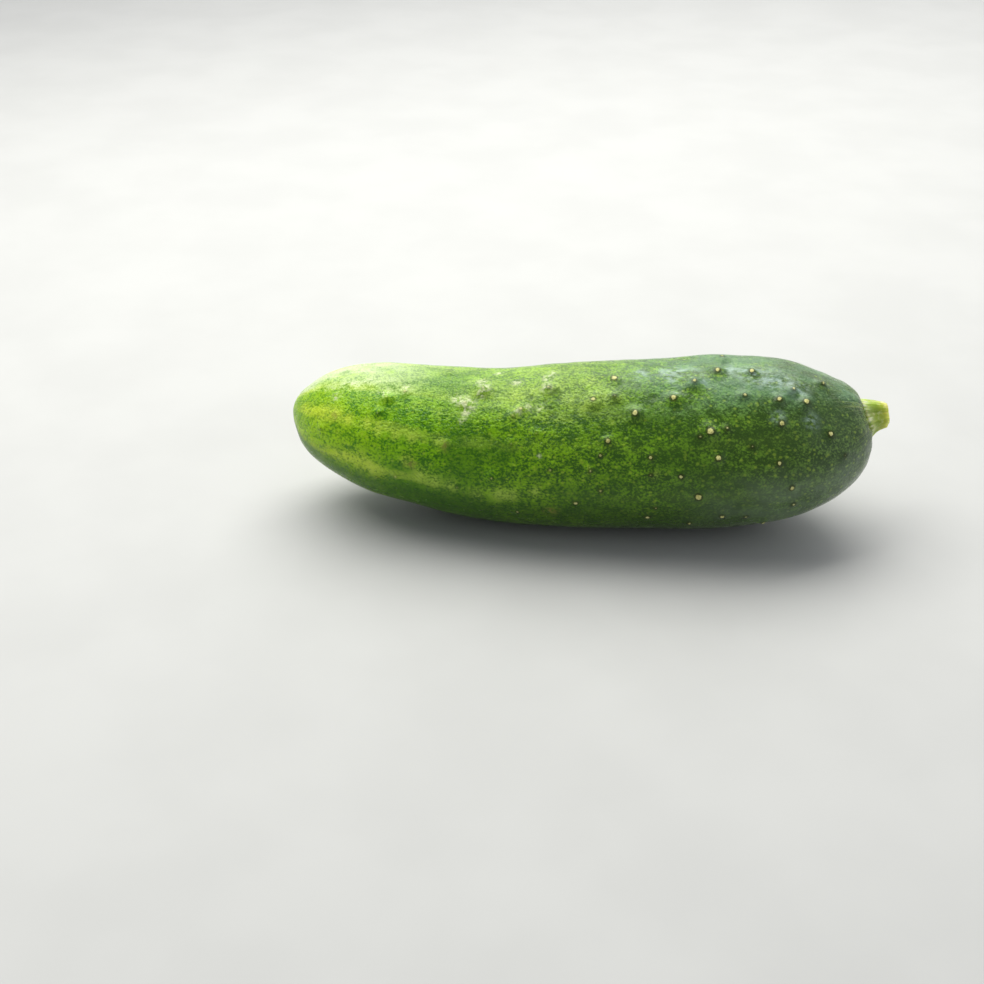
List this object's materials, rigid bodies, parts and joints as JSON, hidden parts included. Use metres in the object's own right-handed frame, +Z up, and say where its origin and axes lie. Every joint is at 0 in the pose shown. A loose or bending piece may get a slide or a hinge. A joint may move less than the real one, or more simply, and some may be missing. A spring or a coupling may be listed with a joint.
{
  "type": "cucumber",
  "caption": "Short field cucumber as picked, lying on its side: a bowed, blunt, rounded three-sided green fruit with small warts, and the cut stub of its stem.",
  "frame": {"origin": "on the surface that the cucumber lies on, under the middle of its outline seen from above", "axes": "+X along the fruit towards the stem end, +Z up, -Y the pictured front"},
  "size_m": [0.1302, 0.0392, 0.0382],
  "materials": {
    "skin": "fresh waxy cucumber skin, dark green at the stem end and yellow-green at the blossom end",
    "stem": "pale yellow-green stem tissue, drying at the cut"
  },
  "bodies": {
    "root": {"fruit": "skin", "stem_stub": "stem"}
  },
  "joints": []
}
